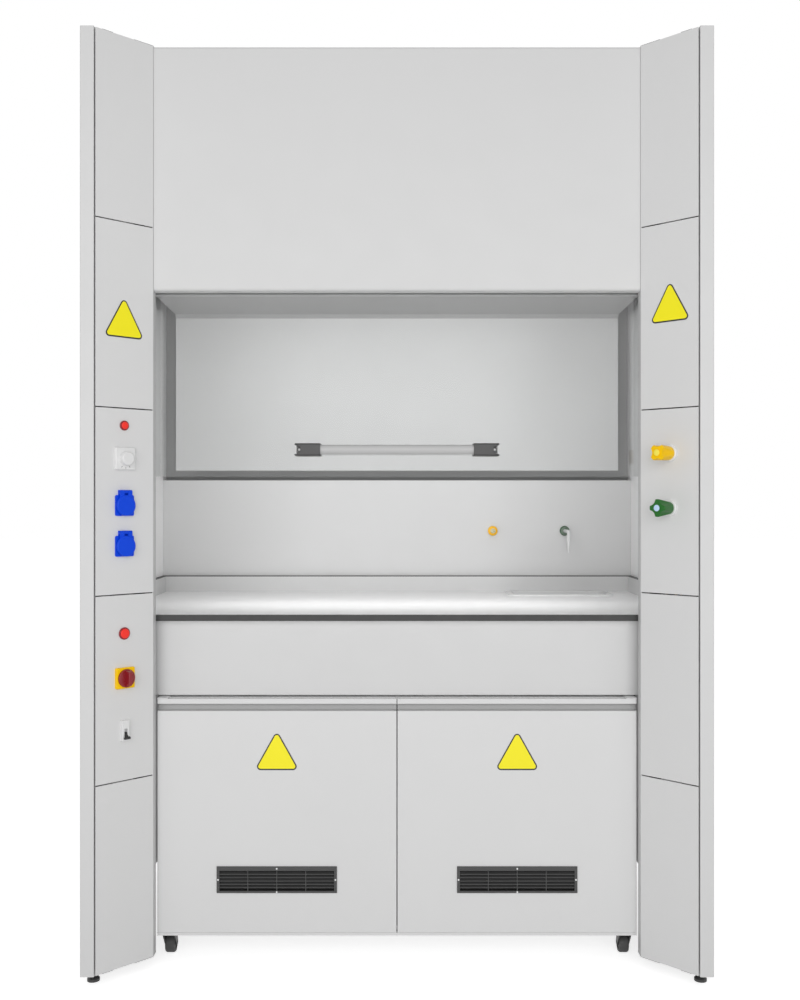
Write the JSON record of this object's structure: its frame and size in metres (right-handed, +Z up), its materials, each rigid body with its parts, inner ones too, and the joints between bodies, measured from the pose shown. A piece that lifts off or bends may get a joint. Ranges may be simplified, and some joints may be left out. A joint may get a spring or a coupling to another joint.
{
  "type": "laboratory fume hood",
  "caption": "Laboratory fume hood with a counterbalanced vertical sash, splayed service columns, a baffled work chamber and a roll-out cabinet below the worktop.",
  "frame": {"origin": "on the floor, in the middle of the footprint", "axes": "+X to the user's right, +Y towards the back, +Z up; the open side faces -Y"},
  "size_m": [1.5, 0.93, 2.352],
  "materials": {
    "light_grey_paint": "fine satin powder coat",
    "dark_grey_paint": "satin powder coat",
    "liner_board": "smooth laminate sheet",
    "worktop_board": "smooth chemical-resistant board",
    "grey_board": "light grey laminated board",
    "frame_steel": "grey powder coat",
    "galvanised": "plain galvanised sheet",
    "duct_plastic": "moulded grey plastic",
    "sink_plastic": "moulded light grey plastic",
    "guide_aluminium": "anodised",
    "lamp_body": "white paint with a frosted lens",
    "valve_brass": "plain brass and copper",
    "black_plastic": "fine grain",
    "dark_plastic": "fine grain",
    "white_plastic": "smooth",
    "blue_plastic": "smooth",
    "red_plastic": "smooth",
    "dark_red_plastic": "smooth",
    "yellow_plastic": "smooth",
    "green_plastic": "smooth",
    "clear_glass": "laminated safety glass",
    "handle_grey": "satin anodised tube",
    "slide_plastic": "self-lubricating plastic",
    "rope_steel": "stranded wire rope",
    "weight_steel": "plain flat bar",
    "caster_rubber": "grey tread",
    "caster_steel": "dark plated steel"
  },
  "bodies": {
    "frame": {"side_panels": "light_grey_paint", "columns": "dark_grey_paint", "service_panels_left": "light_grey_paint", "service_panels_right": "light_grey_paint", "side_liners": "liner_board", "back_panel": "galvanised", "upper_baffle": "liner_board", "lower_baffle": "liner_board", "roof_panel": "galvanised", "exhaust_collar": "duct_plastic", "cable_gland": "black_plastic", "upper_front_panel": "light_grey_paint", "lintel": "light_grey_paint", "lamp": "lamp_body", "underframe": "frame_steel", "worktop": "worktop_board", "upstand": "worktop_board", "worktop_fascia": "light_grey_paint", "drip_sink": "sink_plastic", "sash_guides": "guide_aluminium", "counterweight_ducts": "galvanised", "levelling_feet": "dark_plastic", "gas_outlet": "yellow_plastic", "water_outlet": "white_plastic", "service_pipework": "valve_brass", "valve_collars": "white_plastic", "pushbutton_bezels": "dark_red_plastic", "dimmer_plate": "white_plastic", "socket_bodies": "blue_plastic", "switch_plate": "yellow_plastic", "breaker_cover": "white_plastic", "sash_ropes": "rope_steel"},
    "sash": {"sash_glass": "clear_glass", "handle_brackets": "dark_plastic", "handle_bar": "handle_grey", "sash_shoes": "slide_plastic"},
    "counterweights": {"counterweights": "weight_steel"},
    "pulley_right": {"sash_pulley_right": "slide_plastic"},
    "pulley_left": {"sash_pulley_left": "slide_plastic"},
    "upper_button": {"upper_button": "red_plastic"},
    "lower_button": {"lower_button": "red_plastic"},
    "dimmer_knob": {"dimmer_knob": "white_plastic"},
    "upper_socket_lid": {"upper_socket_lid": "blue_plastic"},
    "lower_socket_lid": {"lower_socket_lid": "blue_plastic"},
    "switch_handle": {"switch_handle": "dark_red_plastic"},
    "breaker_toggle": {"breaker_toggle": "black_plastic"},
    "gas_knob": {"gas_knob": "yellow_plastic"},
    "water_knob": {"water_knob": "green_plastic"},
    "cabinet": {"cabinet_carcass": "grey_board", "rear_caster_forks": "caster_steel"},
    "door_right": {"cabinet_door_right": "grey_board", "door_grille_right": "dark_plastic"},
    "door_left": {"cabinet_door_left": "grey_board", "door_grille_left": "dark_plastic"},
    "caster_front_left": {"front_caster_fork_left": "caster_steel"},
    "caster_front_right": {"front_caster_fork_right": "caster_steel"},
    "wheel_front_left": {"front_caster_wheel_left": "caster_rubber"},
    "wheel_front_right": {"front_caster_wheel_right": "caster_rubber"},
    "wheel_rear_left": {"rear_caster_wheel_left": "caster_rubber"},
    "wheel_rear_right": {"rear_caster_wheel_right": "caster_rubber"}
  },
  "joints": [
    {"name": "sash_slide", "type": "slide", "parent": "frame", "child": "sash", "axis": [0, 0, 1], "range_m": [-0.343, 0.22], "deforming": ["sash_ropes"]},
    {"name": "counterweight_slide", "type": "slide", "parent": "frame", "child": "counterweights", "axis": [0, 0, 1], "range_m": [-0.22, 0.343]},
    {"name": "pulley_right_turn", "type": "hinge", "parent": "frame", "child": "pulley_right", "pos_m": [0.671, -0.304, 2.228], "axis": [0, 1, 0], "range_deg": [-760, 490]},
    {"name": "pulley_left_turn", "type": "hinge", "parent": "frame", "child": "pulley_left", "pos_m": [-0.671, -0.304, 2.228], "axis": [0, 1, 0], "range_deg": [-490, 760]},
    {"name": "upper_button_press", "type": "slide", "parent": "frame", "child": "upper_button", "axis": [-0.7071, 0.7071, 0], "range_m": [0, 0.003], "stiffness_N_per_m": 600, "springref_m": -0.002},
    {"name": "lower_button_press", "type": "slide", "parent": "frame", "child": "lower_button", "axis": [-0.7071, 0.7071, 0], "range_m": [0, 0.003], "stiffness_N_per_m": 600, "springref_m": -0.002},
    {"name": "dimmer_turn", "type": "hinge", "parent": "frame", "child": "dimmer_knob", "pos_m": [-0.65925, -0.40725, 1.255], "axis": [-0.7071, 0.7071, 0], "range_deg": [-135, 135]},
    {"name": "upper_lid_flip", "type": "hinge", "parent": "frame", "child": "upper_socket_lid", "pos_m": [-0.6543, -0.4122, 1.175], "axis": [-0.7071, -0.7071, 0], "range_deg": [0, 110], "stiffness_Nm_per_rad": 0.02, "springref_deg": -22.92},
    {"name": "lower_lid_flip", "type": "hinge", "parent": "frame", "child": "lower_socket_lid", "pos_m": [-0.6543, -0.4122, 1.077], "axis": [-0.7071, -0.7071, 0], "range_deg": [0, 110], "stiffness_Nm_per_rad": 0.02, "springref_deg": -22.92},
    {"name": "switch_turn", "type": "hinge", "parent": "frame", "child": "switch_handle", "pos_m": [-0.65925, -0.40725, 0.726], "axis": [-0.7071, 0.7071, 0], "range_deg": [0, 90]},
    {"name": "breaker_flip", "type": "hinge", "parent": "frame", "child": "breaker_toggle", "pos_m": [-0.65607, -0.41043, 0.591], "axis": [-0.7071, -0.7071, 0], "range_deg": [0, 80]},
    {"name": "gas_valve_turn", "type": "hinge", "parent": "frame", "child": "gas_knob", "pos_m": [0.65925, -0.40725, 1.268], "axis": [-0.7071, -0.7071, 0], "range_deg": [0, 90]},
    {"name": "water_valve_turn", "type": "hinge", "parent": "frame", "child": "water_knob", "pos_m": [0.65925, -0.40725, 1.136], "axis": [-0.7071, -0.7071, 0], "range_deg": [0, 540]},
    {"name": "cabinet_roll", "type": "slide", "parent": "frame", "child": "cabinet", "axis": [0, -1, 0], "range_m": [0, 0.75]},
    {"name": "door_right_hinge", "type": "hinge", "parent": "cabinet", "child": "door_right", "pos_m": [0.5925, -0.311, 0.367], "axis": [0, 0, 1], "range_deg": [0, 90]},
    {"name": "door_left_hinge", "type": "hinge", "parent": "cabinet", "child": "door_left", "pos_m": [-0.5925, -0.311, 0.367], "axis": [0, 0, -1], "range_deg": [0, 90]},
    {"name": "caster_left_swivel", "type": "hinge", "parent": "cabinet", "child": "caster_front_left", "pos_m": [-0.577, -0.265, 0.0675], "axis": [0, 0, 1], "continuous": true},
    {"name": "wheel_front_left_spin", "type": "hinge", "parent": "caster_front_left", "child": "wheel_front_left", "pos_m": [-0.577, -0.247, 0.025], "axis": [1, 0, 0], "continuous": true},
    {"name": "wheel_rear_left_spin", "type": "hinge", "parent": "cabinet", "child": "wheel_rear_left", "pos_m": [-0.577, 0.203, 0.025], "axis": [1, 0, 0], "continuous": true},
    {"name": "caster_right_swivel", "type": "hinge", "parent": "cabinet", "child": "caster_front_right", "pos_m": [0.577, -0.265, 0.0675], "axis": [0, 0, 1], "continuous": true},
    {"name": "wheel_front_right_spin", "type": "hinge", "parent": "caster_front_right", "child": "wheel_front_right", "pos_m": [0.577, -0.247, 0.025], "axis": [1, 0, 0], "continuous": true},
    {"name": "wheel_rear_right_spin", "type": "hinge", "parent": "cabinet", "child": "wheel_rear_right", "pos_m": [0.577, 0.203, 0.025], "axis": [1, 0, 0], "continuous": true}
  ],
  "couplings": [
    {"joint": "counterweight_slide", "follows": "sash_slide", "ratio": -1},
    {"joint": "pulley_right_turn", "follows": "sash_slide", "rad_per_m": 38.462},
    {"joint": "pulley_left_turn", "follows": "sash_slide", "rad_per_m": -38.462}
  ]
}
